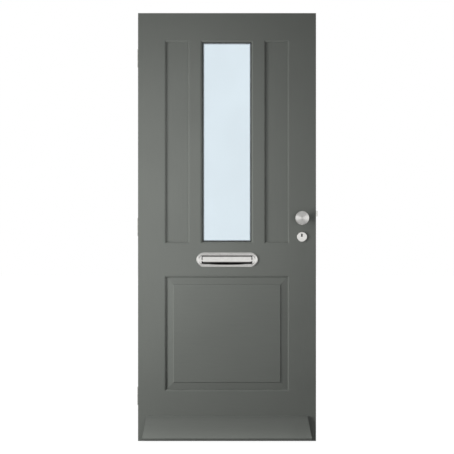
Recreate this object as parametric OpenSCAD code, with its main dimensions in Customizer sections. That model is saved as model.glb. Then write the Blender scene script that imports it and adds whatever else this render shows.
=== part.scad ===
// Panelled front door leaf with a glazed centre, letter plate, lock set and butt hinges, in mm.
// The leaf stands on Z = 0, outside is -Y, inside is +Y and the lock edge is on +X.

/* [Leaf] */
// Width of the leaf
leaf_w = 880; // [830:1:980]
// Height of the leaf
leaf_h = 2115; // [2015:1:2315]
// Thickness of the leaf
leaf_t = 54; // [52:1:60]
// Face width of each stile, up to the arris of its moulding
stile_w = 132; // [124:1:140]
// Face height of the top rail
top_rail_h = 134; // [110:1:180]
// Height of the lower arris of the lock rail
lock_rail_z = 817; // [770:1:820]
// Face height of the lock rail
lock_rail_h = 158; // [150:1:160]
// Face height of the bottom rail
bottom_rail_h = 246; // [210:1:280]
// Face width of the uprights beside the glass
muntin_w = 53.5; // [48:0.5:64]
// Rounding of the long outer edges
arris_r = 2; // [1:0.5:4]
// Length of the tenons on the rails
tenon_l = 66; // [40:1:68]
// Thickness of the tenons
tenon_t = 18; // [12:1:20]

/* [Mouldings] */
// Depth of the square step at the arris
quirk = 1.5; // [1:0.5:2.5]
// Radius of the rounded moulding round the panels
ovolo_r = 8; // [6:0.5:9]
// Width of the flat at the foot of that moulding
stick_flat = 2; // [1:0.5:4]
// How far the panel face lies below the foot of the moulding
panel_drop = 0.5; // [0:0.1:1.5]
// Depth of the groove that holds a panel, from the foot of the moulding
groove_d = 12; // [10:0.5:14]
// Width of that groove
groove_t = 16; // [12:1:18]
// Width of the bevel round the raised field
bevel_w = 31; // [24:1:44]
// Height of the sloping step round the raised field
field_step = 3.5; // [2:0.5:4]
// Width of that step
field_edge = 4; // [2:0.5:5]
// How far the raised field lies below the face of the leaf
field_drop = 1.5; // [0.5:0.5:3]

/* [Glazing] */
// Width of the glazed opening between its arrises
glazed_w = 261; // [220:1:290]
// Radius of the moulding round the glass
glazed_r = 9; // [7:0.5:10]
// Width of the flat at the foot of that moulding
glazed_flat = 1.5; // [1:0.5:3]
// Thickness of the lip behind that flat
lip_t = 3; // [2:0.5:4]
// Thickness of each glazing tape
tape_t = 2; // [1:0.5:3]
// How far each glazing tape shows past the timber
tape_over = 3.5; // [2:0.5:5]
// Thickness of each pane
pane_t = 4; // [3:1:5]
// Gap between the panes
cavity_t = 14; // [12:1:15]
// Gap between the edge of the glass and the timber
edge_gap = 4; // [3:0.5:5]
// Width of the spacer bar, seen from the front
spacer_w = 8; // [7:0.5:10]
// Distance from the edge of the glass to the spacer bar
spacer_in = 6; // [4:0.5:7]

/* [Weatherboard] */
// Distance from the edge of the leaf to the foot of the board
wb_side = 20; // [12:1:40]
// How much each end slopes in, from foot to top
wb_slope = 22.5; // [0:0.5:30]
// Height of the underside
wb_z0 = 7; // [5:1:20]
// Height of the board
wb_h = 117.5; // [100:0.5:140]
// Projection at the nose
wb_p = 52; // [42:1:64]
// Projection at the top
wb_top = 14; // [10:1:20]
// Radius of the nose
wb_nose = 10; // [7:0.5:12]
// Hollowness of the sloping face
wb_hollow = 7; // [3:0.5:10]
// Radius of the drip groove
drip_r = 3; // [2:0.5:4]

/* [Letter plate] */
// Length of the opening in the letter plate
slot_w = 251; // [220:1:290]
// Width of the plate past each end of its opening
lp_end_w = 25.5; // [24:0.5:30]
// Height of the letter plate
lp_h = 70; // [66:1:76]
// Thickness of the plate inside its rim
lp_base = 4.5; // [4:0.1:4.8]
// Width of the rounded rim
lp_rim = 14; // [12:0.5:15]
// Height of the rim
lp_top = 8; // [7:0.5:9]
// Gap between each end of the flap and the opening
flap_end_gap = 4.7; // [4:0.1:8]
// Lower edge of the opening, from the middle of the plate
slot_z0 = -21.5; // [-22:0.5:-20.5]
// Upper edge of the opening, from the middle of the plate
slot_z1 = 21; // [19:0.5:21]
// Depth of the finger scoop in the lower edge
scoop_d = 3.3; // [2:0.1:3.5]
// Length of the finger scoop
scoop_w = 180; // [120:5:200]
// Radius of the rolled top edge of the flap
flap_roll = 3.6; // [3.2:0.1:3.6]
// Thickness of the flap
flap_t = 2.5; // [2:0.1:2.8]
// Lower edge of the flap, from the middle of the plate
flap_z0 = -12.2; // [-12.5:0.1:-10]
// Radius of the lip along the lower edge of the flap
flap_lip = 2.2; // [1.8:0.1:2.5]
// Height of the flap pin above the middle of the plate
flap_pin_z = 12.8; // [11.5:0.1:13]
// Radius of the flap pins
flap_pin_r = 1.6; // [1.2:0.1:1.8]
// Wall of the sleeve in the slot
sleeve_t = 1.5; // [1:0.1:2]
// Radius of the bolts of the letter plates
lp_bolt_r = 2.5; // [2:0.1:2.6]

/* [Knob and lever] */
// Radius of the knob
knob_r = 34; // [32:0.5:37]
// Projection of the knob from the leaf
knob_p = 52; // [48:0.5:58]
// Radius of the rim of the knob
knob_rim_r = 7; // [6:0.5:7.5]
// Radius of the roses of the knob and the lever
rose_r = 26; // [25.5:0.5:28]
// Thickness of those roses
rose_t = 8; // [7:0.5:9]
// Radius of the lever bar
lever_r = 9.5; // [8:0.5:10]
// Length of the lever from its axis to the centre of its round end
lever_l = 122; // [100:1:140]
// Distance from the leaf to the centre of the lever bar
lever_p = 46; // [42:1:52]
// Side of the square spindle
spindle_a = 8; // [7:0.5:9]

/* [Lock] */
// Distance from the lock edge to the axes of the knob and the cylinder
backset = 70; // [65:0.5:72]
// Height of the knob above the foot of the leaf
knob_z = 1102; // [1098:1:1200]
// Distance from the knob axis down to the key axis
centres = 85; // [82:1:86]
// Radius of the cylinder roses
cyl_rose_r = 25.4; // [25:0.1:26.5]
// Distance from the key axis down to the centre of the cylinder roses
cyl_rose_drop = 8; // [7.5:0.1:8.5]
// Width of the forend
forend_w = 24; // [20:1:26]
// Length of the forend
forend_l = 265; // [240:1:290]
// Thickness of the forend
forend_t = 3; // [2:0.5:4]
// Depth of the lock case behind the forend
case_d = 100; // [96:1:104]
// Thickness of the lock case
case_t = 16; // [15:0.5:18]
// Wall of the lock case
case_wall = 1.5; // [1:0.1:1.5]
// How far the latch stands out of the forend
latch_out = 10; // [8:0.5:10]
// Height of the latch
latch_h = 28; // [24:1:30]
// Height of the deadbolt
bolt_h = 30; // [24:1:32]
// Thickness of the deadbolt
bolt_t = 12; // [10:0.5:12]

/* [Hinges] */
// Length of each hinge
hinge_l = 89; // [80:1:102]
// Thickness of the hinge plates
hinge_t = 2.5; // [2:0.1:2.6]
// Width of the hinge plates, up to the inside face of the leaf
hinge_w = 25; // [24:0.5:30]
// Gap between the two plates of a closed hinge
hinge_gap = 2; // [1.5:0.1:3]
// Radius of the knuckles
knuckle_r = 6.5; // [6:0.1:6.8]
// Radius of the hinge pins
hinge_pin_r = 4; // [3:0.1:4.2]
// Distance from the ends of the leaf to the middle of the outer hinges
hinge_end = 220; // [190:1:260]
// Radius of the hinge screw holes
screw_hole_r = 2.25; // [2.1:0.05:2.5]
// Spacing of the holes along the jamb plates
screw_dz = 64; // [60:1:68]
// Spacing of the holes along the door plates, staggered from those in the jamb plates
door_screw_dz = 52; // [44:1:56]
// Spacing of the holes across each plate
screw_dy = 12; // [11:0.5:13]

/* [Fits] */
// Gap round joints in the timber
joint_gap = 0.1; // [0.05:0.05:0.2]
// Gap between a panel and the foot of its moulding
panel_gap = 0.3; // [0.2:0.1:0.5]
// Radial clearance of pins and shafts that turn
run_gap = 0.05; // [0.02:0.01:0.08]
// Gap between pieces that slide or turn past each other
move_gap = 0.3; // [0.3:0.05:0.5]

/* [Hidden] */
$fn = 64;

// Colours of the materials
paint = [0.40, 0.41, 0.39];
steel = [0.80, 0.80, 0.79];
brass = [0.78, 0.68, 0.42];
zinc = [0.66, 0.67, 0.69];
clear = [0.75, 0.85, 0.92, 0.35];
black = [0.12, 0.12, 0.12];
white = [0.92, 0.92, 0.92];

// Lines of the leaf
hw = leaf_w / 2;
ht = leaf_t / 2;
stick_w = ovolo_r + stick_flat;
glazed_stick = glazed_r + glazed_flat;
in_x = hw - stile_w;
shoulder = in_x - stick_w;
glazed_x = glazed_w / 2;
muntin_x = glazed_x + muntin_w;
upper_z0 = lock_rail_z + lock_rail_h;
upper_z1 = leaf_h - top_rail_h;
tenon_in = 18;
tenon_ht = tenon_t / 2;
stub_l = 30;

// Lines of the panels
panel_ht = ht - quirk - ovolo_r - panel_drop;
tongue_ht = groove_t / 2 - joint_gap;
tongue_l = groove_d - 1.5;
field_ht = ht - field_drop;
bevel_ht = field_ht - field_step;

// Layers of the glazing, from outside to inside
lip_y = -ht + quirk + glazed_r + lip_t;
pane1_y = lip_y + tape_t;
cavity_y = pane1_y + pane_t;
pane2_y = cavity_y + cavity_t;
tape2_y = pane2_y + pane_t;
bead_y = tape2_y + tape_t;
glass_x = glazed_x - edge_gap;
glass_z0 = upper_z0 + edge_gap;
glass_z1 = upper_z1 - edge_gap;
tape_w = glazed_stick - edge_gap + tape_over;

// Lines of the letter plate, from its middle
lp_z = lock_rail_z + lock_rail_h / 2;
lp_w = slot_w + 2 * lp_end_w;
lp_end = (lp_w - lp_h) / 2;
slot_half = slot_w / 2;
flap_half = slot_half - flap_end_gap;
stop_l = 10;
stop_h = 6;
rim_arc = (lp_rim / 2) * 1.3;
flap_pin_y = -lp_base - 0.5 + flap_roll;
flap_back = -lp_base - 0.5 + flap_t;
cut_side = 6;
cut_over = 1;
cut_w = slot_w + 2 * cut_side;
cut_h = 2 * (scoop_d - slot_z0 + cut_over);
inner_flap_z0 = -cut_h / 2 + sleeve_t - 0.2;
inner_slot_z0 = inner_flap_z0 - 0.8;
inner_slot_z1 = flap_pin_z + flap_roll - 0.7;
inner_pin_z = inner_slot_z1 - flap_roll - 2;
inner_slot_half = flap_half - 0.3;
inner_flap_half = inner_slot_half - 2 * move_gap;
lp_bolt_in = 12.5;
lp_bolt_x = slot_half + lp_bolt_in;
sleeve_in = 3.5;
boss_r = lp_bolt_r + 2.5;

// Lines of the weatherboard
wb_tongue_in = 8;
wb_tongue_d = 8;
wb_tongue_z = 60;
wb_tongue_h = 10;

// Lines of the blocks under and beside the glass
block_x = 70;
block_hl = 25;
side_block_z = 150;
side_block_hl = 30;

// Lines of the lock
case_below = 50;
case_above = 48;
forend_drop = 34;
latch_rise = 22;
bolt_rise = 34;
lock_x = hw - backset;
key_z = knob_z - centres;
cyl_z = key_z - cyl_rose_drop;
forend_x = hw - forend_t;
forend_z = knob_z - forend_drop;
case_x = forend_x - case_d;
case_z0 = key_z - case_below;
case_z1 = knob_z + case_above;
case_ht = case_t / 2;
room = case_ht - case_wall;
latch_z = knob_z + latch_rise;
latch_t = 13;
tail_z = latch_z;
bolt_z = key_z + bolt_rise;
arm_r = 16;
arm_tip = 2.5;
hub_r = 11;
hub_in = 9;
hook_x = lock_x - arm_tip - 0.25 - move_gap;
spring_x0 = lock_x + 32;
spring_x1 = lock_x + 55;
spring_r = 4.6;
wire_r = 0.6;
rose_bolt_dx = 19;
sunk_r = 17;
sunk_h = 6.5;
cyl_bolt_dx = (cyl_rose_r + sunk_r) / 2;
rose_bolt_r = 2;
euro_r = 8.5;
euro_w = 10;
euro_down = 24.5;
plug_r = 6.5;
cyl_out = 3.5;
cyl_half = ht + cyl_out;
disc_r = euro_r - 0.2;
key_r = 4.1;
key_dz = 3.7;
key_waist = 6.6;
turn_y = ht + 12;
cam_r = 13.2;
cam_room = 14.5;
cam_t = 9.8;
screw_drop = 18;
cyl_screw_r = 2.5;

// Lines of the hinges
hinge_zs = [hinge_end, leaf_h / 2, leaf_h - hinge_end];
pin_x = -hw + 4;
pin_y = ht + knuckle_r + 1;
plate_y = ht - hinge_w;
jamb_x1 = -hw - hinge_gap;
jamb_x0 = jamb_x1 - hinge_t;
knuckle_h = hinge_l / 5;
hole_y = ht - hinge_w / 2;
screw_r = screw_hole_r - 0.25;
screw_l = 30;
sink_d = 1.9;

// Points on an arc
function arc(cx, cy, r, a0, a1, n) =
    [for (i = [0:n]) [cx + r * cos(a0 + (a1 - a0) * i / n), cy + r * sin(a0 + (a1 - a0) * i / n)]];

// Box between two corners
module box(x0, x1, y0, y1, z0, z1) {
    translate([x0, y0, z0]) cube([x1 - x0, y1 - y0, z1 - z0]);
}

// Outline in X and Y, extruded upwards
module up_z(z0, z1) {
    translate([0, 0, z0]) linear_extrude(z1 - z0) children();
}

// Outline in Y and Z, extruded along X
module along_x(x0, x1) {
    translate([x0, 0, 0]) rotate([90, 0, 90]) linear_extrude(x1 - x0) children();
}

// Outline in Z and Y, extruded along X
module across_x(x0, x1) {
    translate([x1, 0, 0]) rotate([0, -90, 0]) linear_extrude(x1 - x0) children();
}

// Outline in X and Z, extruded along Y
module along_y(y0, y1) {
    translate([0, y1, 0]) rotate([90, 0, 0]) linear_extrude(y1 - y0) children();
}

// Half outline in radius and height, turned round an axis that points out of the leaf on its outside
module turned() {
    rotate([90, 0, 0]) rotate_extrude() children();
}

// Rod along X
module rod_x(x0, x1, y, z, r) {
    translate([x0, y, z]) rotate([0, 90, 0]) cylinder(h = x1 - x0, r = r);
}

// Rod along Y
module rod_y(x, y0, y1, z, r) {
    translate([x, y0, z]) rotate([-90, 0, 0]) cylinder(h = y1 - y0, r = r);
}

// Copy on both sides of the middle plane
module both_sides() {
    children();
    mirror([1, 0, 0]) children();
}

// Moulding round a panel: the timber past the arris, on both faces
module sticking2d() {
    half = ht - quirk - ovolo_r;
    intersection() {
        union() {
            translate([0, -half]) square([stick_w, 2 * half]);
            translate([0, -half]) circle(r = ovolo_r);
            translate([0, half]) circle(r = ovolo_r);
        }
        translate([0, -ht]) square([stick_w, leaf_t]);
    }
}

// Section of a panel opening between two arrises, with its groove
module panel_void2d(a0, a1) {
    difference() {
        translate([a0, -ht - 1]) square([a1 - a0, leaf_t + 2]);
        translate([a0, 0]) sticking2d();
        translate([a1, 0]) mirror([1, 0]) sticking2d();
    }
    g = stick_w - groove_d;
    translate([a0 + g, -groove_t / 2]) square([a1 - a0 - 2 * g, groove_t]);
}

// Panel opening with mitred mouldings
module panel_void(x0, x1, z0, z1) {
    intersection() {
        up_z(z0 - 20, z1 + 20) panel_void2d(x0, x1);
        across_x(x0 - 20, x1 + 20) panel_void2d(z0, z1);
    }
}

module left_void() {
    panel_void(-in_x, -muntin_x, upper_z0, upper_z1);
}

module right_void() {
    panel_void(muntin_x, in_x, upper_z0, upper_z1);
}

module bottom_void() {
    panel_void(-in_x, in_x, bottom_rail_h, lock_rail_z);
}

// Moulding and lip on the outside of the glazed opening
module glazed_sticking2d() {
    y = -ht + quirk + glazed_r;
    intersection() {
        union() {
            translate([0, y]) square([glazed_stick, lip_t]);
            translate([0, y]) circle(r = glazed_r);
        }
        translate([0, -ht]) square([glazed_stick, lip_y + ht]);
    }
}

// Section of the glazed opening, with its rebate
module glazed_void2d(a0, a1) {
    difference() {
        translate([a0, -ht - 1]) square([a1 - a0, leaf_t + 2]);
        translate([a0, 0]) glazed_sticking2d();
        translate([a1, 0]) mirror([1, 0]) glazed_sticking2d();
    }
}

module glazed_void() {
    intersection() {
        up_z(upper_z0 - 20, upper_z1 + 20) glazed_void2d(-glazed_x, glazed_x);
        across_x(-glazed_x - 20, glazed_x + 20) glazed_void2d(upper_z0, upper_z1);
    }
}

// Tenons on both ends of a rail, or with clearance their mortises
module tenons(z0, z1, gap, from) {
    both_sides()
        box(shoulder - from, shoulder + tenon_l + 5 * gap, -tenon_ht - gap, tenon_ht + gap,
            z0 - gap, z1 + gap);
}

module top_tenons(gap, from) {
    tenons(upper_z1 + tenon_in, leaf_h - 45, gap, from);
}

module lock_tenons(gap, from) {
    tenons(lock_rail_z + tenon_in, upper_z0 - tenon_in, gap, from);
}

module bottom_tenons(gap, from) {
    tenons(45, bottom_rail_h - tenon_in, gap, from);
}

// Stub tenons of one muntin, or with clearance their mortises
module stubs(gap) {
    box(-muntin_x + 12, -glazed_x - 12, -tenon_ht - gap, tenon_ht + gap,
        upper_z0 + glazed_stick - stub_l - 5 * gap, upper_z1 - glazed_stick + stub_l + 5 * gap);
}

// Section of a stile, from its outer edge
module stile2d() {
    translate([arris_r, -ht]) square([stile_w + stick_w - arris_r, leaf_t]);
    translate([0, -ht + arris_r]) square([stile_w, leaf_t - 2 * arris_r]);
    for (s = [-1, 1]) {
        translate([arris_r, s * (ht - arris_r)]) circle(r = arris_r);
    }
}

module stile_blank() {
    translate([-hw, 0, 0]) up_z(0, leaf_h) stile2d();
}

module hinge_stile() {
    color(paint) difference() {
        stile_blank();
        left_void();
        bottom_void();
        top_tenons(joint_gap, 1);
        lock_tenons(joint_gap, 1);
        bottom_tenons(joint_gap, 1);
        for (z = hinge_zs) {
            translate([0, 0, z]) hinge_recess();
        }
    }
}

module lock_stile() {
    color(paint) difference() {
        mirror([1, 0, 0]) stile_blank();
        right_void();
        bottom_void();
        top_tenons(joint_gap, 1);
        lock_tenons(joint_gap, 1);
        bottom_tenons(joint_gap, 1);
        lock_recess();
    }
}

module top_rail() {
    color(paint) difference() {
        union() {
            box(-shoulder, shoulder, -ht, ht, upper_z1 - glazed_stick, leaf_h);
            top_tenons(0, 5);
        }
        left_void();
        right_void();
        glazed_void();
        both_sides() stubs(joint_gap);
    }
}

module lock_rail() {
    color(paint) difference() {
        union() {
            box(-shoulder, shoulder, -ht, ht, lock_rail_z - stick_w, upper_z0 + glazed_stick);
            lock_tenons(0, 5);
        }
        left_void();
        right_void();
        bottom_void();
        glazed_void();
        both_sides() stubs(joint_gap);
        letter_recess();
    }
}

module bottom_rail() {
    color(paint) difference() {
        union() {
            box(-shoulder, shoulder, -ht, ht, 0, bottom_rail_h + stick_w);
            bottom_tenons(0, 5);
        }
        bottom_void();
        wb_tongue(joint_gap);
    }
}

module muntin() {
    union() {
        box(-muntin_x - stick_w, -glazed_x + glazed_stick, -ht, ht,
            upper_z0 + glazed_stick, upper_z1 - glazed_stick);
        stubs(0);
    }
}

module left_muntin() {
    color(paint) difference() {
        muntin();
        left_void();
        glazed_void();
    }
}

module right_muntin() {
    color(paint) difference() {
        mirror([1, 0, 0]) muntin();
        right_void();
        glazed_void();
    }
}

// Flat panel with a tongue all round
module flat_panel(x0, x1, z0, z1) {
    g = stick_w + panel_gap;
    t = stick_w - tongue_l;
    color(paint) union() {
        box(x0 + g, x1 - g, -panel_ht, panel_ht, z0 + g, z1 - g);
        box(x0 + t, x1 - t, -tongue_ht, tongue_ht, z0 + t, z1 - t);
    }
}

module left_panel() {
    flat_panel(-in_x, -muntin_x, upper_z0, upper_z1);
}

module right_panel() {
    flat_panel(muntin_x, in_x, upper_z0, upper_z1);
}

// Section of the raised panel between two arrises
module fielded2d(a0, a1) {
    e0 = a0 + stick_w + panel_gap;
    e1 = a1 - stick_w - panel_gap;
    f0 = e0 + bevel_w;
    f1 = e1 - bevel_w;
    g0 = f0 + field_edge;
    g1 = f1 - field_edge;
    t = stick_w - tongue_l;
    translate([a0 + t, -tongue_ht]) square([a1 - a0 - 2 * t, 2 * tongue_ht]);
    polygon([
        [e0, -panel_ht], [f0, -bevel_ht], [g0, -field_ht], [g1, -field_ht], [f1, -bevel_ht], [e1, -panel_ht],
        [e1, panel_ht], [f1, bevel_ht], [g1, field_ht], [g0, field_ht], [f0, bevel_ht], [e0, panel_ht]
    ]);
}

module bottom_panel() {
    color(paint) intersection() {
        up_z(bottom_rail_h - 20, lock_rail_z + 20) fielded2d(-in_x, in_x);
        across_x(-in_x - 20, in_x + 20) fielded2d(bottom_rail_h, lock_rail_z);
    }
}

// Section of the weatherboard
module wb2d() {
    y = -ht;
    top = wb_z0 + wb_h;
    nose = [y - wb_p + wb_nose, wb_z0 + wb_nose];
    a = [y - wb_top, top - 12];
    b = [nose[0] - wb_nose * 0.5, nose[1] + wb_nose * 0.866];
    d = b - a;
    chord = norm(d);
    r = (chord * chord / 4 + wb_hollow * wb_hollow) / (2 * wb_hollow);
    out = [d[1], -d[0]] / chord;
    c = (a + b) / 2 + out * (r - wb_hollow);
    difference() {
        union() {
            polygon([[y, wb_z0], [nose[0], wb_z0], nose, b, a, [y - wb_top, top], [y, top]]);
            translate(nose) circle(r = wb_nose);
        }
        translate(c) circle(r = r);
        translate([nose[0] + wb_nose + 4, wb_z0]) circle(r = drip_r);
    }
}

module wb_tongue(gap) {
    x = shoulder - wb_tongue_in + gap;
    box(-x, x, -ht - 2, -ht + wb_tongue_d + gap, wb_tongue_z - gap, wb_tongue_z + wb_tongue_h + gap);
}

module weatherboard() {
    w = hw - wb_side;
    t = w - wb_slope;
    top = wb_z0 + wb_h;
    color(paint) union() {
        intersection() {
            along_x(-w, w) wb2d();
            along_y(-ht - wb_p - 5, -ht + 5) polygon([[-w, wb_z0], [w, wb_z0], [t, top], [-t, top]]);
        }
        wb_tongue(0);
    }
}

// Rectangular slab of the glazing
module slab(y0, y1, in) {
    box(-glass_x + in, glass_x - in, y0, y1, glass_z0 + in, glass_z1 - in);
}

// Rectangular ring of the glazing
module ring(y0, y1, in, w) {
    difference() {
        slab(y0, y1, in);
        slab(y0 - 1, y1 + 1, in + w);
    }
}

module outer_pane() {
    color(clear) slab(pane1_y, cavity_y, 0);
}

module inner_pane() {
    color(clear) slab(pane2_y, tape2_y, 0);
}

module spacer_bar() {
    color(white) ring(cavity_y, pane2_y, spacer_in, spacer_w);
}

module outer_glazing_tape() {
    color(black) ring(lip_y, pane1_y, 0, tape_w);
}

module inner_glazing_tape() {
    color(black) ring(tape2_y, bead_y, 0, tape_w);
}

module setting_blocks() {
    color(black) {
        for (x = [-block_x, block_x]) {
            box(x - block_hl, x + block_hl, pane1_y, tape2_y, upper_z0, glass_z0);
        }
        for (s = [-1, 1], z = [glass_z0 + side_block_z, glass_z1 - side_block_z]) {
            box(s > 0 ? glass_x : -glazed_x, s > 0 ? glazed_x : -glass_x, pane1_y, tape2_y,
                z - side_block_hl, z + side_block_hl);
        }
    }
}

// Section of a glazing bead, from the rebate towards the glass
module bead2d() {
    r = glazed_stick * 0.6;
    intersection() {
        union() {
            translate([0, bead_y]) square([glazed_stick - r, ht - bead_y]);
            translate([0, bead_y]) square([glazed_stick, ht - bead_y - r]);
            translate([glazed_stick - r, ht - r]) circle(r = r);
        }
        translate([0, bead_y]) square([glazed_stick, ht - bead_y]);
    }
}

// Upright bead with mitred ends
module side_bead() {
    color(paint) intersection() {
        translate([-glazed_x, 0, 0]) up_z(upper_z0, upper_z1) bead2d();
        along_y(bead_y - 1, ht + 1) polygon([
            [-glazed_x, upper_z0], [-glazed_x + glazed_stick, upper_z0 + glazed_stick],
            [-glazed_x + glazed_stick, upper_z1 - glazed_stick], [-glazed_x, upper_z1]
        ]);
    }
}

// Level bead with mitred ends, at the foot of the glass
module level_bead() {
    color(paint) intersection() {
        across_x(-glazed_x, glazed_x) translate([upper_z0, 0]) bead2d();
        along_y(bead_y - 1, ht + 1) polygon([
            [-glazed_x, upper_z0], [glazed_x, upper_z0],
            [glazed_x - glazed_stick, upper_z0 + glazed_stick],
            [-glazed_x + glazed_stick, upper_z0 + glazed_stick]
        ]);
    }
}

module glazing_bead_left() {
    side_bead();
}

module glazing_bead_right() {
    mirror([1, 0, 0]) side_bead();
}

module glazing_bead_bottom() {
    level_bead();
}

module glazing_bead_top() {
    translate([0, 0, upper_z0 + upper_z1]) mirror([0, 0, 1]) level_bead();
}

// Half section of the letter plate: distance from its middle line, and height
module letter_rim2d() {
    square([lp_h / 2, lp_base]);
    intersection() {
        translate([lp_h / 2 - lp_rim / 2, lp_top - rim_arc]) circle(r = rim_arc);
        translate([lp_h / 2 - lp_rim, 0]) square([lp_rim, lp_top + 1]);
    }
}

// Plate with round ends, swept from that section, with its back on Y = 0
module letter_blank() {
    for (s = [-1, 1]) {
        translate([s * lp_end, 0, 0]) rotate([90, 0, 0]) rotate([0, 0, -90 * s])
            rotate_extrude(angle = 180) letter_rim2d();
    }
    for (s = [0, 1]) {
        mirror([0, 0, s]) along_x(-lp_end, lp_end) rotate(90) letter_rim2d();
    }
}

// Opening of a letter plate, with a finger scoop of that depth below it
module letter_slot2d(half, z0, z1, scoop) {
    translate([-half, z0]) square([2 * half, z1 - z0]);
    if (scoop > 0) {
        scoop2d();
    }
}

module scoop2d() {
    r = (scoop_w * scoop_w / 4 + scoop_d * scoop_d) / (2 * scoop_d);
    intersection() {
        translate([0, slot_z0 - scoop_d + r]) circle(r = r, $fn = 720);
        translate([-scoop_w / 2 - 5, slot_z0 - scoop_d - 1]) square([scoop_w + 10, scoop_d + 4]);
    }
}

// Plate with an opening from z0 to z1, pin ears, and the stops of a flap whose lower edge is at foot
module letter_body(half, z0, z1, scoop, pin_z, foot) {
    stop_z = foot + 2 * flap_lip + 1;
    difference() {
        union() {
            letter_blank();
            both_sides() box(half, half + 5, -1, 3, pin_z - 4.8, pin_z + 4.8);
        }
        along_y(-lp_top - 2, 1) letter_slot2d(half, z0, z1, scoop);
        both_sides() rod_x(half - 5, half + 4, flap_pin_y, pin_z, flap_pin_r + run_gap);
    }
    both_sides() box(half - stop_l, half + 2, flap_back + joint_gap, 0, stop_z, stop_z + stop_h);
}

// Flap with a rolled top edge and a lip along its foot
module flap(half, pin_z, foot) {
    front = -lp_base - 0.5;
    difference() {
        along_x(-half, half) union() {
            translate([flap_pin_y, pin_z]) circle(r = flap_roll);
            translate([front, foot + flap_lip]) square([flap_t, pin_z - foot - flap_lip]);
            translate([front + flap_lip * 0.5, foot + flap_lip]) circle(r = flap_lip);
        }
        rod_x(-half - 1, half + 1, flap_pin_y, pin_z, flap_pin_r + run_gap);
    }
}

module flap_pin(half, pin_z) {
    rod_x(-half - 3.5, half + 3.5, flap_pin_y, pin_z, flap_pin_r);
}

module on_outside() {
    translate([0, -ht, lp_z]) children();
}

module on_inside() {
    translate([0, ht, lp_z]) mirror([0, 1, 0]) children();
}

module letter_plate() {
    color(steel) on_outside() difference() {
        union() {
            letter_body(slot_half, slot_z0, slot_z1, scoop_d, flap_pin_z, flap_z0);
            both_sides() rod_y(lp_bolt_x, -1, 8, 0, boss_r);
        }
        both_sides() rod_y(lp_bolt_x, -2, 9, 0, lp_bolt_r + run_gap);
    }
}

module letter_flap() {
    color(steel) on_outside() flap(flap_half, flap_pin_z, flap_z0);
}

module letter_flap_pin() {
    color(zinc) on_outside() flap_pin(slot_half, flap_pin_z);
}

module inner_letter_plate() {
    color(steel) on_inside() difference() {
        letter_body(inner_slot_half, inner_slot_z0, inner_slot_z1, 0, inner_pin_z, inner_flap_z0);
        both_sides() {
            rod_y(lp_bolt_x, -lp_top - 2, 1, 0, lp_bolt_r + run_gap);
            rod_y(lp_bolt_x, -lp_top - 2, -lp_base, 0, lp_bolt_r + 2 + move_gap);
        }
    }
}

module inner_letter_flap() {
    color(steel) on_inside() flap(inner_flap_half, inner_pin_z, inner_flap_z0);
}

module inner_flap_pin() {
    color(zinc) on_inside() flap_pin(inner_slot_half, inner_pin_z);
}

// Bolt of the letter plates, with a round head and a slot in it
module letter_plate_bolts() {
    y = ht + lp_base;
    color(steel) both_sides() difference() {
        union() {
            rod_y(lp_bolt_x, -ht - 1.5, y + 1, lp_z, lp_bolt_r);
            rod_y(lp_bolt_x, y, y + 2.4, lp_z, lp_bolt_r + 2);
        }
        box(lp_bolt_x - 6, lp_bolt_x + 6, y + 1.4, y + 3, lp_z - 0.5, lp_z + 0.5);
    }
}

module letter_sleeve() {
    w = cut_w / 2;
    h = cut_h / 2;
    y = ht - sleeve_in;
    color(black) translate([0, 0, lp_z]) difference() {
        box(-w, w, -y, y, -h, h);
        box(-w + sleeve_t, w - sleeve_t, -y - 1, y + 1, -h + sleeve_t, h - sleeve_t);
    }
}

// Slot and bolt holes in the lock rail
module letter_recess() {
    translate([0, 0, lp_z]) {
        box(-cut_w / 2, cut_w / 2, -ht - 1, ht + 1, -cut_h / 2, cut_h / 2);
        both_sides() {
            rod_y(lp_bolt_x, -ht - 1, ht + 1, 0, lp_bolt_r + 0.5);
            rod_y(lp_bolt_x, -ht - 1, -ht + 9, 0, boss_r + 0.3);
        }
    }
}

// Place something on the outside or the inside of the leaf at a height on the lock axis
module lock_out(z) {
    translate([lock_x, -ht, z]) children();
}

module lock_in(z) {
    translate([lock_x, ht, z]) mirror([0, 1, 0]) children();
}

// Fixed knob: collar, hollow neck, rounded rim and domed face
module knob() {
    rim = knob_r - knob_rim_r;
    rim_h = knob_p - knob_rim_r - 4.6;
    dome = (rim * rim + pow(knob_p - rim_h, 2) - knob_rim_r * knob_rim_r)
        / (2 * (knob_p - rim_h - knob_rim_r));
    tilt = asin(rim / (dome - knob_rim_r));
    color(steel) lock_out(knob_z) turned() polygon(concat(
        [[0, 1], [7.9, 1], [7.9, rose_t], [16.4, rose_t]],
        arc(19.5, 19.5, 9, 250, 110, 12),
        arc(rim, rim_h, knob_rim_r, -80, 90 - tilt, 14),
        [for (i = [1:9]) [dome * sin(tilt * (1 - i / 10)), knob_p - dome + dome * cos(tilt * (1 - i / 10))]],
        [[0, knob_p]]
    ));
}

// Round rose with an eased edge and a hole
module rose(hole) {
    turned() difference() {
        union() {
            square([rose_r, rose_t - 2]);
            square([rose_r - 2, rose_t]);
            translate([rose_r - 2, rose_t - 2]) circle(r = 2);
        }
        translate([-1, -1]) square([hole + 1, rose_t + 2]);
    }
}

module knob_rose() {
    color(steel) lock_out(knob_z) difference() {
        rose(8);
        both_sides() rod_y(rose_bolt_dx, -rose_t + 2, 1, 0, rose_bolt_r + run_gap);
    }
}

module handle_rose() {
    color(steel) lock_in(knob_z) difference() {
        rose(9 + run_gap);
        both_sides() bolt_hole(rose_bolt_dx, rose_t);
    }
}

// Through hole with a countersink at the face of a rose
module bolt_hole(x, h) {
    rod_y(x, -h - 1, 1, 0, rose_bolt_r + run_gap);
    translate([x, -h, 0]) rotate([-90, 0, 0]) cylinder(h = 2, r1 = rose_bolt_r + 2, r2 = rose_bolt_r);
}

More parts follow.
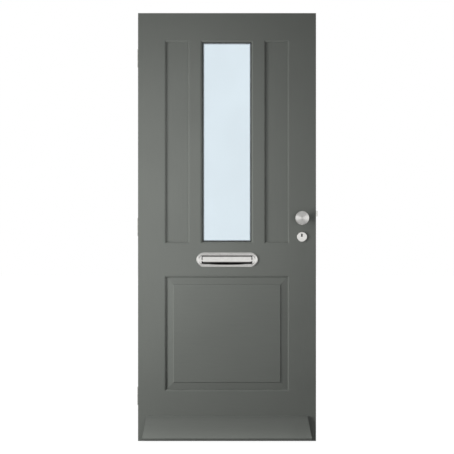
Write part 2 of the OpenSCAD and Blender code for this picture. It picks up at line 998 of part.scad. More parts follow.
// Outline of the profile cylinder, round its key axis
module euro2d(gap) {
    circle(r = euro_r + gap);
    translate([-euro_w / 2 - gap, -euro_down + euro_w / 2])
        square([euro_w + 2 * gap, euro_down - euro_w / 2]);
    translate([0, -euro_down + euro_w / 2]) circle(r = euro_w / 2 + gap);
}

// Round rose with a rounded rim, hollowed behind its sunk face for the end of the cylinder
module cyl_rose() {
    difference() {
        turned() difference() {
            union() {
                square([cyl_rose_r, 5]);
                square([cyl_rose_r - 4, 9]);
                translate([cyl_rose_r - 4, 5]) circle(r = 4);
            }
            translate([-1, sunk_h]) square([sunk_r + 1, 5]);
        }
        along_y(-cyl_out, 1) translate([0, cyl_rose_drop]) euro2d(0.25);
        rod_y(0, -10, 1, cyl_rose_drop, disc_r + move_gap);
    }
}

module cylinder_rose() {
    color(steel) lock_out(cyl_z) difference() {
        cyl_rose();
        both_sides() rod_y(cyl_bolt_dx, -7, 1, 0, rose_bolt_r + run_gap);
    }
}

module inner_cylinder_rose() {
    color(steel) lock_in(cyl_z) difference() {
        cyl_rose();
        both_sides() bolt_hole(cyl_bolt_dx, 9);
    }
}

// Countersunk bolt through both roses, with a slot in its head
module rose_bolt(x, z, h, tip) {
    translate([x, 0, z]) difference() {
        union() {
            rod_y(0, -ht - tip, ht + h - 1, 0, rose_bolt_r);
            translate([0, ht + h - 2, 0]) rotate([-90, 0, 0])
                cylinder(h = 1.9, r1 = rose_bolt_r - 0.1, r2 = rose_bolt_r + 1.8);
        }
        box(-5, 5, ht + h - 1, ht + h + 1, -0.5, 0.5);
    }
}

module rose_bolts() {
    color(steel) for (s = [-1, 1]) {
        rose_bolt(lock_x + s * rose_bolt_dx, knob_z, rose_t, rose_t - 3);
        rose_bolt(lock_x + s * cyl_bolt_dx, cyl_z, 9, 6);
    }
}

// Lever with a collar, a curved neck and a round bar that points to the hinge edge
module lever_handle() {
    bend = 16;
    y = lever_p - bend;
    color(steel) translate([lock_x, ht, knob_z]) difference() {
        union() {
            rod_y(0, 1, rose_t + 1, 0, 9);
            rod_y(0, rose_t + move_gap, rose_t + 4, 0, 12);
            rod_y(0, rose_t + 3, y, 0, lever_r);
            translate([-bend, y, 0]) rotate_extrude(angle = 90) translate([bend, 0]) circle(r = lever_r);
            rod_x(-lever_l, -bend, lever_p, 0, lever_r);
            translate([-lever_l, lever_p, 0]) sphere(r = lever_r);
        }
        box(-spindle_a / 2 - run_gap, spindle_a / 2 + run_gap, 0, y - 4,
            -spindle_a / 2 - run_gap, spindle_a / 2 + run_gap);
    }
}

module spindle() {
    a = spindle_a / 2;
    color(zinc) translate([lock_x, 0, knob_z]) box(-a, a, -ht + 6, ht + lever_p - 21, -a, a);
}

// Holes for the spindle, the cylinder and the bolts of the roses
module lock_holes(y0, y1, gap, bolt_gap, nut_r) {
    rod_y(lock_x, y0, y1, knob_z, nut_r);
    translate([lock_x, 0, key_z]) along_y(y0, y1) euro2d(gap);
    for (s = [-1, 1]) {
        rod_y(lock_x + s * rose_bolt_dx, y0, y1, knob_z, rose_bolt_r + bolt_gap);
        rod_y(lock_x + s * cyl_bolt_dx, y0, y1, cyl_z, rose_bolt_r + bolt_gap);
    }
}

// Outline of the forend in Y and Z
module forend2d(gap) {
    w = forend_w / 2;
    h = forend_l / 2 - w;
    translate([-w - gap, forend_z - h]) square([2 * w + 2 * gap, 2 * h]);
    for (s = [-1, 1]) {
        translate([0, forend_z + s * h]) circle(r = w + gap);
    }
}

// Mortise and holes for the lock in its stile
module lock_recess() {
    box(case_x - 1, hw, -case_ht - 0.2, case_ht + 0.2, case_z0 - 1, case_z1 + 1);
    along_x(forend_x, hw + 1) forend2d(joint_gap);
    lock_holes(-ht - 1, ht + 1, 1, 0.4, hub_in + 2);
    for (s = [-1, 1]) {
        rod_x(forend_x - 32, hw + 1, 0, forend_z + s * (forend_l / 2 - 10), screw_r + joint_gap);
    }
}

// Countersunk hole through the forend
module forend_hole(z, r) {
    rod_x(forend_x - 1, hw + 1, 0, z, r);
    translate([hw - 2, 0, z]) rotate([0, 90, 0]) cylinder(h = 2.01, r1 = r, r2 = r + 2);
}

module latch_hole(gap) {
    box(forend_x - 5, hw + 1, -latch_t / 2 - gap, latch_t / 2 + gap,
        latch_z - latch_h / 2 - gap, latch_z + latch_h / 2 + gap);
}

module bolt_hole_x(gap) {
    box(forend_x - 5, hw + 1, -bolt_t / 2 - gap, bolt_t / 2 + gap,
        bolt_z - bolt_h / 2 - gap, bolt_z + bolt_h / 2 + gap);
}

module lock_forend() {
    color(steel) difference() {
        along_x(forend_x, hw) forend2d(0);
        latch_hole(move_gap);
        bolt_hole_x(move_gap);
        forend_hole(key_z - screw_drop, cyl_screw_r + run_gap);
        for (s = [-1, 1]) {
            forend_hole(forend_z + s * (forend_l / 2 - 10), screw_r + run_gap);
        }
    }
}

// Pan of the lock case, with the block that the latch spring pushes on
module lock_case() {
    color(zinc) difference() {
        union() {
            difference() {
                box(case_x, forend_x, -case_ht, room, case_z0, case_z1);
                box(case_x + case_wall, forend_x - case_wall, -room, room + 1,
                    case_z0 + case_wall, case_z1 - case_wall);
            }
            box(spring_x0 - 4, spring_x0, -room - 0.5, room, tail_z - 9, tail_z + 9);
        }
        box(spring_x0 - 5, spring_x0 + 1, -2 - move_gap, 2 + move_gap,
            tail_z - 3 - move_gap, tail_z + 3 + move_gap);
        lock_holes(-case_ht - 1, -room + 0.2, 0.5, 0.4, hub_in + run_gap);
        latch_hole(move_gap);
        bolt_hole_x(move_gap);
        rod_x(forend_x - 5, forend_x + 1, 0, key_z - screw_drop, cyl_screw_r + 0.5);
    }
}

module lock_cover() {
    color(zinc) difference() {
        box(case_x, forend_x, room, case_ht, case_z0, case_z1);
        lock_holes(room - 1, case_ht + 1, 0.5, 0.4, hub_in + run_gap);
    }
}

// Nut turned by the spindle, with the arm that draws the latch
module lock_follower() {
    a = spindle_a / 2 + run_gap;
    color(brass) translate([lock_x, 0, knob_z]) difference() {
        union() {
            rod_y(0, -room + move_gap, room - move_gap, 0, hub_r);
            rod_y(0, -case_ht, case_ht, 0, hub_in);
            box(-arm_tip, arm_tip, -3, 3, 0, arm_r);
            rod_y(0, -3, 3, arm_r, arm_tip);
        }
        box(-a, a, -case_ht - 1, case_ht + 1, -a, a);
    }
}

// Latch with a bevelled head, a tail and the hook that the follower draws
module latch_bolt() {
    t = latch_t / 2;
    x1 = hw + latch_out;
    color(steel) union() {
        up_z(latch_z - latch_h / 2, latch_z + latch_h / 2)
            polygon([[spring_x1, -t], [hw + 0.5, -t], [x1, t - 2], [x1, t], [spring_x1, t]]);
        box(hook_x - 7, spring_x1 + 2, -2, 2, tail_z - 2.8, tail_z + 2.8);
        box(hook_x - 7, hook_x, -2, 2, knob_z + 12.5, tail_z);
    }
}

// Points of one ring of the spring wire
function coil_ring(t, turns, len) =
    let (a = 360 * turns * t, x = wire_r + (len - 2 * wire_r) * t)
    [for (k = [0:5]) let (b = 60 * k)
        [x + wire_r * sin(b), (spring_r + wire_r * cos(b)) * cos(a), (spring_r + wire_r * cos(b)) * sin(a)]];

// Coil spring along X, closed at both ends
module coil(len, turns, steps) {
    pts = [for (i = [0:steps], p = coil_ring(i / steps, turns, len)) p];
    sides = [for (i = [0:steps - 1], k = [0:5]) let (a = i * 6 + k, b = i * 6 + (k + 1) % 6)
        each [[a, b, b + 6], [a, b + 6, a + 6]]];
    ends = [[for (k = [0:5]) 5 - k], [for (k = [0:5]) steps * 6 + k]];
    polyhedron(points = pts, faces = concat(sides, ends));
}

module latch_spring() {
    color(zinc) translate([spring_x0, 0, tail_z]) coil(spring_x1 - spring_x0, 6, 84);
}

// Deadbolt with a thinner tail, notched where the cam drives it
module deadbolt() {
    t = bolt_t / 2;
    h = bolt_h / 2;
    color(steel) difference() {
        union() {
            box(lock_x + 24, hw - 0.2, -t, t, bolt_z - h, bolt_z + h);
            box(lock_x - 26, lock_x + 26, -2, 2, bolt_z - h, bolt_z + h - 6);
        }
        box(lock_x - 14, lock_x - 3, -3, 3, bolt_z - h - 1, bolt_z - h + 7);
    }
}

module key_axis() {
    translate([lock_x, 0, key_z]) children();
}

// Body of the cylinder, with the gap for its cam and the hole for its screw
module cylinder_body() {
    color(black) key_axis() difference() {
        along_y(-cyl_half, cyl_half) euro2d(0);
        rod_y(0, -cyl_half - 1, cyl_half + 1, 0, plug_r + run_gap);
        box(-10, 10, -cam_t / 2 - move_gap, cam_t / 2 + move_gap, -cam_room, 10);
        rod_x(-10, 10, 0, -screw_drop, cyl_screw_r + run_gap);
    }
}

// Waisted keyhole
module keyhole2d() {
    square([key_waist, 2 * key_dz], center = true);
    for (s = [-1, 1]) {
        translate([0, s * key_dz]) circle(r = key_r);
    }
}

module cylinder_plug() {
    color(black) key_axis() difference() {
        rod_y(0, -cyl_half, cyl_half, 0, plug_r);
        along_y(-cyl_half - 1, -cyl_half + 22) intersection() {
            keyhole2d();
            circle(r = plug_r - 0.8);
        }
    }
}

module cylinder_cam() {
    color(zinc) key_axis() difference() {
        union() {
            rod_y(0, -cam_t / 2, cam_t / 2, 0, euro_r - 0.1);
            box(-4, 4, -cam_t / 2, cam_t / 2, -cam_r + 1, 0);
            intersection() {
                box(-4, 4, -cam_t / 2, cam_t / 2, -cam_r - 1, 0);
                rod_y(0, -cam_t / 2, cam_t / 2, 0, cam_r);
            }
        }
        rod_y(0, -cam_t, cam_t, 0, plug_r + run_gap);
    }
}

// Disc that turns with the plug and fills the hole in the rose
module keyhole_disc() {
    color(steel) key_axis() difference() {
        rod_y(0, -ht - sunk_h, -cyl_half, 0, disc_r);
        along_y(-ht - sunk_h - 1, -cyl_half + 1) keyhole2d();
    }
}

// Turn on the inside end of the plug
module thumb_turn() {
    color(steel) key_axis() union() {
        rod_y(0, cyl_half, turn_y + 1, 0, disc_r);
        along_y(turn_y, turn_y + 20) union() {
            square([9, 22], center = true);
            for (s = [-1, 1]) {
                translate([0, s * 11]) circle(r = 4.5);
            }
        }
    }
}

// Countersunk screw along X, with a slot in its head, its head at x
module screw_x(x, y, z, r, len) {
    translate([x, y, z]) difference() {
        union() {
            rod_x(-len, -1, 0, 0, r);
            translate([-2, 0, 0]) rotate([0, 90, 0]) cylinder(h = 1.9, r1 = r - 0.1, r2 = r + 1.8);
        }
        box(-1, 1, -0.5, 0.5, -5, 5);
    }
}

module cylinder_screw() {
    color(steel) screw_x(hw, 0, key_z - screw_drop, cyl_screw_r, hw - lock_x + 8);
}

module forend_screws() {
    color(steel) for (s = [-1, 1]) {
        screw_x(hw, 0, forend_z + s * (forend_l / 2 - 10), screw_r, screw_l);
    }
}

// Recess of one hinge plate in the stile, with its screw holes
module hinge_recess() {
    h = hinge_l / 2 + joint_gap;
    box(-hw - 1, -hw + hinge_t, plate_y - joint_gap, ht + 1, -h, h);
    for (y = [-1, 1], z = [-1, 1]) {
        rod_x(-hw - 1, -hw + screw_l + 2, hole_y + y * screw_dy / 2, z * door_screw_dz / 2,
            screw_r + joint_gap);
    }
}

// One knuckle of a hinge, counted from the foot
module knuckle(i, web_x0, web_x1, web_y0, web_y1, root_x0, root_x1) {
    z0 = -hinge_l / 2 + i * knuckle_h + (i > 0 ? move_gap / 2 : 0);
    z1 = -hinge_l / 2 + (i + 1) * knuckle_h - (i < 4 ? move_gap / 2 : 0);
    translate([pin_x, pin_y, z0]) cylinder(h = z1 - z0, r = knuckle_r);
    box(web_x0, web_x1, web_y0, web_y1, z0, z1);
    box(root_x0, root_x1, ht - 1, web_y1, z0, z1);
}

// Countersunk holes of a hinge plate, dz apart along it, wide side at x and cut towards dir
module hinge_holes(x, dir, dz) {
    for (y = [-1, 1], z = [-1, 1]) {
        translate([0, hole_y + y * screw_dy / 2, z * dz / 2]) {
            rod_x(x - 5, x + 5, 0, 0, screw_hole_r);
            translate([x, 0, 0]) rotate([0, 90 * dir, 0])
                cylinder(h = sink_d, r1 = screw_hole_r + sink_d, r2 = screw_hole_r);
        }
    }
}

module pin_bore() {
    translate([pin_x, pin_y, -hinge_l]) cylinder(h = 2 * hinge_l, r = hinge_pin_r + run_gap);
}

// Hinge half let into the leaf, with the second and fourth knuckles
module door_leaf(z) {
    color(steel) translate([0, 0, z]) difference() {
        union() {
            box(-hw, -hw + hinge_t, plate_y, ht, -hinge_l / 2, hinge_l / 2);
            for (i = [1, 3]) {
                knuckle(i, -hw, -hw + hinge_t, ht - 1, pin_y, -hw, -hw + hinge_t);
            }
        }
        hinge_holes(-hw, 1, door_screw_dz);
        pin_bore();
    }
}

// Hinge half for the jamb, with the first, third and fifth knuckles
module jamb_leaf(z) {
    color(steel) translate([0, 0, z]) difference() {
        union() {
            box(jamb_x0, jamb_x1, plate_y, ht, -hinge_l / 2, hinge_l / 2);
            for (i = [0, 2, 4]) {
                knuckle(i, jamb_x0, pin_x, pin_y - 3, pin_y + 3.5, jamb_x0, jamb_x1);
            }
        }
        hinge_holes(jamb_x1, -1, screw_dz);
        pin_bore();
    }
}

module bottom_hinge_door_leaf() {
    door_leaf(hinge_zs[0]);
}

module middle_hinge_door_leaf() {
    door_leaf(hinge_zs[1]);
}

module top_hinge_door_leaf() {
    door_leaf(hinge_zs[2]);
}

module bottom_hinge_jamb_leaf() {
    jamb_leaf(hinge_zs[0]);
}

module middle_hinge_jamb_leaf() {
    jamb_leaf(hinge_zs[1]);
}

module top_hinge_jamb_leaf() {
    jamb_leaf(hinge_zs[2]);
}

// Pins with a button on each end
module hinge_pins() {
    color(steel) for (z = hinge_zs) {
        translate([pin_x, pin_y, z]) {
            translate([0, 0, -hinge_l / 2 - 2]) cylinder(h = hinge_l + 4, r = hinge_pin_r);
            translate([0, 0, hinge_l / 2]) cylinder(h = 3, r1 = knuckle_r - 0.5, r2 = knuckle_r - 2);
            translate([0, 0, -hinge_l / 2 - 3]) cylinder(h = 3, r1 = knuckle_r - 2, r2 = knuckle_r - 0.5);
        }
    }
}

module hinge_screws() {
    color(steel) for (z = hinge_zs, y = [-1, 1], dz = [-1, 1]) {
        mirror([1, 0, 0])
            screw_x(hw, hole_y + y * screw_dy / 2, z + dz * door_screw_dz / 2, screw_r, screw_l);
    }
}

hinge_stile();
lock_stile();
top_rail();
lock_rail();
bottom_rail();
left_muntin();
right_muntin();
left_panel();
right_panel();
bottom_panel();
weatherboard();
outer_pane();
inner_pane();
spacer_bar();
outer_glazing_tape();
inner_glazing_tape();
setting_blocks();
glazing_bead_top();
glazing_bead_bottom();
glazing_bead_left();
glazing_bead_right();
letter_plate();
letter_flap();
letter_flap_pin();
letter_sleeve();
inner_letter_plate();
inner_letter_flap();
inner_flap_pin();
letter_plate_bolts();
knob();
knob_rose();
cylinder_rose();
handle_rose();
inner_cylinder_rose();
rose_bolts();
lever_handle();
spindle();
lock_forend();
lock_case();
lock_cover();
lock_follower();
latch_bolt();
latch_spring();
deadbolt();
cylinder_body();
cylinder_plug();
cylinder_cam();
keyhole_disc();
thumb_turn();
cylinder_screw();
forend_screws();
top_hinge_door_leaf();
middle_hinge_door_leaf();
bottom_hinge_door_leaf();
top_hinge_jamb_leaf();
middle_hinge_jamb_leaf();
bottom_hinge_jamb_leaf();
hinge_pins();
hinge_screws();
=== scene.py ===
import math

import bpy
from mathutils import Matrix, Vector


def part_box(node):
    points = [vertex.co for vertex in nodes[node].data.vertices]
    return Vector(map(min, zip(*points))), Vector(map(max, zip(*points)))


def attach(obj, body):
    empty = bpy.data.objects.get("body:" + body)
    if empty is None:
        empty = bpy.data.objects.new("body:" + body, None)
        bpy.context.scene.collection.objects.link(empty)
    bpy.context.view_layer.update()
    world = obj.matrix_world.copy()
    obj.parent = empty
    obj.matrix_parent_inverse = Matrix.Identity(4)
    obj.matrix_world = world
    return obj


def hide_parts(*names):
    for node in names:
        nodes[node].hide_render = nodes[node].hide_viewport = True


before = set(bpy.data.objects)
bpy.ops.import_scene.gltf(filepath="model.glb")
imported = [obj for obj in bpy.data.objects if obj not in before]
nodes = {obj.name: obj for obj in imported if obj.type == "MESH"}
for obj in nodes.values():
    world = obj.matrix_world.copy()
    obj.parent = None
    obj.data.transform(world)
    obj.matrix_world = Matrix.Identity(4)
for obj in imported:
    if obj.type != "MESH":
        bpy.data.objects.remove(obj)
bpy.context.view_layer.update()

scene = bpy.context.scene
scene.view_settings.view_transform = "Standard"


def srgb(r, g, b):
    """Linear colour of an 8-bit sRGB one."""
    def line(v):
        v /= 255
        return v / 12.92 if v <= 0.04045 else ((v + 0.055) / 1.055) ** 2.4
    return (line(r), line(g), line(b), 1.0)


PAINT = srgb(99, 102, 98)
STEEL = srgb(223, 222, 219)
ZINC = srgb(176, 178, 182)
BRASS = srgb(206, 184, 128)
# Near-black for the cylinder plug and body: painted shade, so that the keyway reads as a black hole
PAINTED_SHADE_BLACK = srgb(18, 18, 19)
GLASS = srgb(236, 243, 247)
RUBBER = srgb(30, 30, 31)
PLASTIC = srgb(24, 24, 25)
SPACER = srgb(246, 247, 248)
WHITE = (1, 1, 1, 1)


class Tree:
    """A node tree, with short ways to add and join nodes."""

    def __init__(self, tree):
        self.tree = tree

    def add(self, kind, **settings):
        n = self.tree.nodes.new(kind)
        for k, v in settings.items():
            setattr(n, k, v)
        return n

    def join(self, a, b):
        self.tree.links.new(a, b)

    def feed(self, socket, value):
        """Set a number on a socket, or join anything else to it."""
        if isinstance(value, (int, float)):
            socket.default_value = value
        else:
            self.join(value, socket)

    def maths(self, op, a, b=0):
        n = self.add("ShaderNodeMath", operation=op)
        self.feed(n.inputs[0], a)
        self.feed(n.inputs[1], b)
        return n.outputs[0]

    def fade(self, value, span, low, high, kind="SMOOTHSTEP"):
        """A change from low to high while value goes through span."""
        n = self.add("ShaderNodeMapRange", interpolation_type=kind)
        self.feed(n.inputs["Value"], value)
        self.feed(n.inputs["From Min"], span[0])
        self.feed(n.inputs["From Max"], span[1])
        self.feed(n.inputs["To Min"], low)
        self.feed(n.inputs["To Max"], high)
        return n.outputs["Result"]

    def choose(self, flag, if_not, if_so):
        """One of two values, by a flag that is 0 or 1."""
        return self.fade(flag, (0, 1), if_not, if_so)


class Surface(Tree):
    """A material built on one Principled shader."""

    NOISE_MIDDLE = (0.3, 0.7)

    def __init__(self, name):
        self.mat = bpy.data.materials.new(name)
        self.mat.use_nodes = True
        super().__init__(self.mat.node_tree)
        self.bsdf = self.tree.nodes["Principled BSDF"]

    def set(self, **values):
        for k, v in values.items():
            self.bsdf.inputs[k.replace("_", " ")].default_value = v

    def drive(self, socket, value):
        self.join(value, self.bsdf.inputs[socket])

    def coords(self, scale=(1, 1, 1)):
        """Coordinates in the object's own frame, stretched."""
        c = self.add("ShaderNodeTexCoord")
        m = self.add("ShaderNodeMapping")
        m.inputs["Scale"].default_value = scale
        self.join(c.outputs["Object"], m.inputs["Vector"])
        return m.outputs["Vector"]

    def noise(self, scale=1.0, stretch=(1, 1, 1), detail=2.0, rough=0.55):
        n = self.add("ShaderNodeTexNoise")
        n.inputs["Scale"].default_value = scale
        n.inputs["Detail"].default_value = detail
        n.inputs["Roughness"].default_value = rough
        self.join(self.coords(stretch), n.inputs["Vector"])
        return n.outputs["Fac"]

    def spread(self, fac, middle, swing):
        """Map a noise's middle range to the values within swing of middle."""
        return self.fade(fac, self.NOISE_MIDDLE, middle - swing, middle + swing, "LINEAR")

    def shade(self, colour, factor):
        """A colour times a varying factor."""
        n = self.add("ShaderNodeMix", data_type="RGBA", blend_type="MULTIPLY")
        n.inputs["Factor"].default_value = 1.0
        n.inputs["A"].default_value = colour
        self.join(factor, n.inputs["B"])
        return n.outputs["Result"]

    def bump(self, height, strength, distance, before=None):
        n = self.add("ShaderNodeBump")
        n.inputs["Strength"].default_value = strength
        n.inputs["Distance"].default_value = distance
        self.join(height, n.inputs["Height"])
        if before is not None:
            self.join(before, n.inputs["Normal"])
        return n.outputs["Normal"]


# Scales of the noises, in waves per metre
GRAIN_ACROSS = 260.0
GRAIN_ALONG = 9.0
ROLLER = 620.0
CLOUD = 2.6
SMEAR = 45.0
PATCH = 30.0
PANE_WAVE = 5.0
STREAK_ACROSS = 1500.0
STREAK_ALONG = 25.0
TURNED_ACROSS = 900.0
TURNED_ALONG = 300.0

X, Y, Z = range(3)


def paint(name, along):
    """Satin grey paint on timber: faint grain along one axis, a rolled texture and slow changes of tone."""
    g = Surface(name)
    stretch = [GRAIN_ACROSS] * 3
    stretch[along] = GRAIN_ALONG
    grain = g.noise(stretch=stretch, detail=4.0, rough=0.6)
    peel = g.noise(ROLLER)
    cloud = g.noise(CLOUD)
    tone = g.maths("MULTIPLY", g.spread(cloud, 1.0, swing=0.035), g.spread(grain, 1.0, swing=0.025))
    g.drive("Base Color", g.shade(PAINT, tone))
    g.drive("Roughness", g.spread(peel, 0.38, swing=0.05))
    grained = g.bump(grain, strength=0.10, distance=0.0004)
    g.drive("Normal", g.bump(peel, strength=0.08, distance=0.0003, before=grained))
    g.set(Specular_IOR_Level=0.25)
    return g.mat


def brushed(name, rough, stretch, anisotropy, tangent=None):
    """Brushed steel: fine streaks in tone and gloss, with highlights drawn out across the brushing.

    The brushing runs along the tangent, or round the Y axis where there is none.
    """
    g = Surface(name)
    streak = g.noise(stretch=stretch, detail=5.0, rough=0.65)
    smear = g.noise(SMEAR)
    tone = g.maths("MULTIPLY", g.spread(streak, 0.99, swing=0.05), g.spread(smear, 0.995, swing=0.025))
    g.drive("Base Color", g.shade(STEEL, tone))
    g.drive("Roughness", g.spread(streak, rough, swing=0.05))
    g.drive("Normal", g.bump(streak, strength=0.05, distance=0.0001))
    g.set(Metallic=1.0, Anisotropic=anisotropy, Anisotropic_Rotation=0.25)
    if tangent is None:
        t = g.add("ShaderNodeTangent", direction_type="RADIAL", axis="Y")
        g.drive("Tangent", t.outputs["Tangent"])
    else:
        t = g.add("ShaderNodeVectorTransform", vector_type="VECTOR", convert_from="OBJECT",
                  convert_to="WORLD")
        t.inputs["Vector"].default_value = tangent
        g.drive("Tangent", t.outputs["Vector"])
    return g.mat


def cast(name, colour, rough, metallic, grit):
    """Plain matt or plated stock with a fine uneven surface."""
    g = Surface(name)
    fine = g.noise(grit, detail=3.0)
    slow = g.noise(PATCH)
    tone = g.maths("MULTIPLY", g.spread(fine, 0.995, swing=0.055), g.spread(slow, 0.995, swing=0.045))
    g.drive("Base Color", g.shade(colour, tone))
    g.drive("Roughness", g.spread(slow, rough, swing=0.06))
    g.drive("Normal", g.bump(fine, strength=0.12, distance=0.0002))
    g.set(Metallic=metallic, Specular_IOR_Level=0.15)
    return g.mat


def clear_glass(name):
    """Float glass, slightly blue, with the faint waviness of a pane."""
    g = Surface(name)
    wave = g.noise(PANE_WAVE, detail=1.0)
    g.drive("Normal", g.bump(wave, strength=0.01, distance=0.001))
    g.drive("Base Color", g.shade(GLASS, g.spread(wave, 1.0, swing=0.01)))
    g.set(Transmission_Weight=1.0, IOR=1.45, Roughness=0.0)
    return g.mat


LONG = (STREAK_ALONG, STREAK_ACROSS, STREAK_ACROSS)
TALL = (STREAK_ACROSS, STREAK_ACROSS, STREAK_ALONG)
ROUND = (TURNED_ACROSS, TURNED_ALONG, TURNED_ACROSS)

looks = {
    "paint_upright": paint("paint_upright", along=Z),
    "paint_level": paint("paint_level", along=X),
    "glass": clear_glass("glass"),
    "steel_long": brushed("steel_long", rough=0.25, stretch=LONG, anisotropy=0.2, tangent=(1, 0, 0)),
    "steel_tall": brushed("steel_tall", rough=0.25, stretch=TALL, anisotropy=0.2, tangent=(0, 0, 1)),
    "steel_turned": brushed("steel_turned", rough=0.42, stretch=ROUND, anisotropy=0.95),
    "steel_satin": brushed("steel_satin", rough=0.25, stretch=ROUND, anisotropy=0.2),
    "zinc": cast("zinc", ZINC, rough=0.42, metallic=1.0, grit=900.0),
    "brass": cast("brass", BRASS, rough=0.34, metallic=1.0, grit=700.0),
    "black_steel": cast("black_steel", PAINTED_SHADE_BLACK, rough=0.6, metallic=0.0, grit=900.0),
    "rubber": cast("rubber", RUBBER, rough=0.72, metallic=0.0, grit=900.0),
    "plastic": cast("plastic", PLASTIC, rough=0.55, metallic=0.0, grit=1200.0),
    "spacer": cast("spacer", SPACER, rough=0.45, metallic=0.0, grit=800.0),
}

hinge_plates = [f"{place}_hinge_{half}_leaf"
                for place in ("top", "middle", "bottom") for half in ("door", "jamb")]
wearing = {
    "paint_upright": ["hinge_stile", "lock_stile", "left_muntin", "right_muntin", "left_panel",
                      "right_panel", "glazing_bead_left", "glazing_bead_right"],
    "paint_level": ["top_rail", "lock_rail", "bottom_rail", "bottom_panel", "weatherboard",
                    "glazing_bead_top", "glazing_bead_bottom"],
    "glass": ["outer_pane", "inner_pane"],
    "steel_turned": ["knob"],
    "steel_satin": ["knob_rose", "cylinder_rose", "handle_rose", "inner_cylinder_rose", "keyhole_disc",
                    "thumb_turn"],
    "steel_long": ["letter_plate", "letter_flap", "inner_letter_plate", "inner_letter_flap",
                   "letter_plate_bolts", "lever_handle", "rose_bolts", "cylinder_screw", "forend_screws",
                   "hinge_screws", "deadbolt", "latch_bolt"],
    "steel_tall": ["lock_forend", "hinge_pins"] + hinge_plates,
    "zinc": ["letter_flap_pin", "inner_flap_pin", "spindle", "lock_case", "lock_cover", "latch_spring",
             "cylinder_cam"],
    "brass": ["lock_follower"],
    # Cylinder plug and body in near-black: painted shade in the keyway
    "black_steel": ["cylinder_plug", "cylinder_body"],
    "rubber": ["outer_glazing_tape", "inner_glazing_tape", "setting_blocks"],
    "plastic": ["letter_sleeve"],
}
for look, names in wearing.items():
    for n in names:
        mesh = nodes[n].data
        mesh.materials.clear()
        mesh.materials.append(looks[look])

# Matt black on the sides of the inner letter plate and flaps that face into the slot: painted shade, so
# that the gap below the outer flap reads dark
SQUARE_ON = 0.9
for n, inward in (("inner_letter_plate", -1), ("inner_letter_flap", -1), ("letter_flap", 1)):
    mesh = nodes[n].data
    mesh.materials.append(looks["plastic"])
    for face in mesh.polygons:
        if face.normal.y * inward > SQUARE_ON:
            face.material_index = 1


# Spacer bar, a hair thinner than the gap between the panes, so that its faces show through the glass
SPACER_W = 0.008
SPACER_EASE = 0.0003


def spacer_ring():
    low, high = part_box("spacer_bar")
    ends = (low[Y] + SPACER_EASE, high[Y] - SPACER_EASE)
    verts = []
    for y in ends:
        for d in (0.0, SPACER_W):
            x0, x1, z0, z1 = low[X] + d, high[X] - d, low[Z] + d, high[Z] - d
            verts += [(x0, y, z0), (x1, y, z0), (x1, y, z1), (x0, y, z1)]
    faces = []
    for i in range(4):
        j = (i + 1) % 4
        faces.append((i, j, 4 + j, 4 + i))
        faces.append((8 + j, 8 + i, 12 + i, 12 + j))
        faces.append((j, i, 8 + i, 8 + j))
        faces.append((4 + i, 4 + j, 12 + j, 12 + i))
    mesh = bpy.data.meshes.new("spacer_ring")
    mesh.from_pydata(verts, [], faces)
    mesh.materials.append(looks["spacer"])
    ring = bpy.data.objects.new("spacer_ring", mesh)
    scene.collection.objects.link(ring)
    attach(ring, "leaf")
    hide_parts("spacer_bar")


spacer_ring()

# Camera, far off and level with the middle of the picture, which is VIEW_W wide at the leaf's outer face
FACE_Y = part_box("lock_stile")[0][Y]
VIEW_Z = 1.0577
VIEW_W = 2.244
CAMERA_D = 9.0
SENSOR_W = 36.0

cam = bpy.data.cameras.new("camera")
cam.sensor_width = SENSOR_W
cam.lens = SENSOR_W * CAMERA_D / VIEW_W
camera = bpy.data.objects.new("camera", cam)
camera.location = (0, FACE_Y - CAMERA_D, VIEW_Z)
camera.rotation_euler = (math.pi / 2, 0, 0)
scene.collection.objects.link(camera)
scene.camera = camera


def place_lamp(name, kind, place, target, power):
    """A lamp that shines on the object, but isn't mirrored in it."""
    data = bpy.data.lights.new(name, kind)
    data.energy = power
    o = bpy.data.objects.new(name, data)
    o.location = place
    o.rotation_euler = (Vector(target) - Vector(place)).to_track_quat("-Z", "Y").to_euler()
    o.visible_glossy = False
    o.visible_transmission = False
    scene.collection.objects.link(o)
    return data


def soft_lamp(name, place, target, width, height, power):
    """A flat lamp of that size."""
    data = place_lamp(name, "AREA", place, target, power)
    data.shape = "RECTANGLE"
    data.size = width
    data.size_y = height


# Lamps: a strong one at the left, a weak one near the face, a soft one at the right and one overhead
TOP_SPREAD = math.radians(6)

soft_lamp("key", place=(-2.15, -1.2, 0.78), target=(-0.2, 0, 0.85), width=0.7, height=1.4, power=70.0)
soft_lamp("near", place=(-0.24, -0.72, 1.3), target=(-0.24, 0, 1.3), width=0.6, height=1.3, power=4.4)
soft_lamp("right", place=(1.1, -1.8, 0.9), target=(0.2, 0, 0.9), width=1.2, height=1.6, power=9.0)
top = place_lamp("top", "SUN", place=(0, -0.04, 4.0), target=(0, 0, 0), power=1.8)
top.angle = TOP_SPREAD

# Studio round the object, white to the camera and through glass. In metal it is white in front, with a
# dim band above and below that, brighter sides, and white overhead and behind. Matt surfaces take light
# from it only from behind. Each span is a range of one coordinate of the direction.
WHITE_LEVEL = 1.0
BAND_LEVEL = 0.28
SIDE_LEVEL = 0.4
BEHIND_LEVEL = 0.75
BAND_SPAN = (0.24, 0.44)
CEILING_SPAN = (0.74, 0.92)
SIDE_SPAN = (0.35, 0.75)
MIRRORED_BEHIND_SPAN = (-0.25, 0.15)
LIT_BEHIND_SPAN = (-0.1, 0.3)

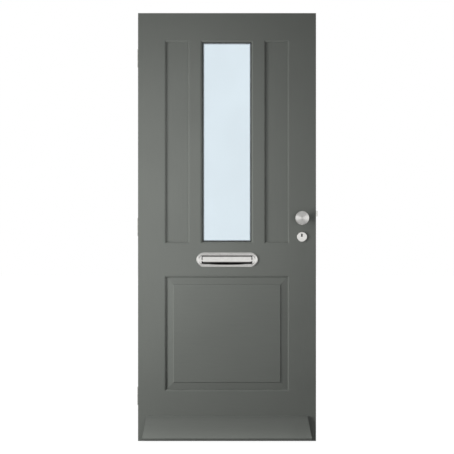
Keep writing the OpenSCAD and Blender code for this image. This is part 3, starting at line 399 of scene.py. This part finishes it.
world = bpy.data.worlds.new("studio")
world.use_nodes = True
scene.world = world
studio = Tree(world.node_tree)
path = studio.add("ShaderNodeLightPath").outputs
axes = studio.add("ShaderNodeSeparateXYZ")
studio.join(studio.add("ShaderNodeTexCoord").outputs["Generated"], axes.inputs["Vector"])
aside = studio.maths("ABSOLUTE", axes.outputs["X"])
height = studio.maths("ABSOLUTE", axes.outputs["Z"])
behind = axes.outputs["Y"]
front = studio.fade(height, BAND_SPAN, WHITE_LEVEL, BAND_LEVEL)
front = studio.fade(height, CEILING_SPAN, front, WHITE_LEVEL)
front = studio.maths("ADD", front, studio.fade(aside, SIDE_SPAN, 0.0, SIDE_LEVEL))
mirrored = studio.fade(behind, MIRRORED_BEHIND_SPAN, front, WHITE_LEVEL)
ambient = studio.fade(behind, LIT_BEHIND_SPAN, 0.0, BEHIND_LEVEL)
direct = studio.maths("MAXIMUM", path["Is Camera Ray"], path["Is Transmission Ray"])
level = studio.choose(path["Is Glossy Ray"], ambient, mirrored)
level = studio.choose(direct, level, WHITE_LEVEL)
back = studio.tree.nodes["Background"]
back.inputs["Color"].default_value = WHITE
studio.join(level, back.inputs["Strength"])

# Floor, white to the camera and through glass, with the object's shadow on it. In metal it is white close
# by and far off, and dim between, as the studio's band is. Each span is a range of distance in metres.
FLOOR_HALF = 30.0
FLOOR_DROP = 0.0005
FLOOR_GLOW = 0.95
FLOOR_COLOUR = (0.05, 0.05, 0.05, 1)
NEAR_SPAN = (0.4, 0.9)
FAR_SPAN = (2.1, 3.9)

floor_mesh = bpy.data.meshes.new("floor")
floor_mesh.from_pydata(
    [(-FLOOR_HALF, -FLOOR_HALF, 0), (FLOOR_HALF, -FLOOR_HALF, 0),
     (FLOOR_HALF, FLOOR_HALF, 0), (-FLOOR_HALF, FLOOR_HALF, 0)], [], [(0, 1, 2, 3)])
floor = bpy.data.objects.new("floor", floor_mesh)
floor.location.z = -FLOOR_DROP
scene.collection.objects.link(floor)
ground = Surface("floor")
ground.set(Roughness=0.9, Base_Color=FLOOR_COLOUR, Specular_IOR_Level=0.1, Emission_Color=WHITE)
seen = ground.add("ShaderNodeLightPath").outputs
direct = ground.maths("MAXIMUM", seen["Is Camera Ray"], seen["Is Transmission Ray"])
away = ground.add("ShaderNodeVectorMath", operation="LENGTH")
ground.join(ground.coords(), away.inputs[0])
mirrored = ground.fade(away.outputs["Value"], NEAR_SPAN, WHITE_LEVEL, BAND_LEVEL)
mirrored = ground.fade(away.outputs["Value"], FAR_SPAN, mirrored, FLOOR_GLOW)
glow = ground.maths("MAXIMUM", ground.maths("MULTIPLY", direct, FLOOR_GLOW),
                    ground.maths("MULTIPLY", seen["Is Glossy Ray"], mirrored))
ground.drive("Emission Strength", glow)
floor_mesh.materials.append(ground.mat)
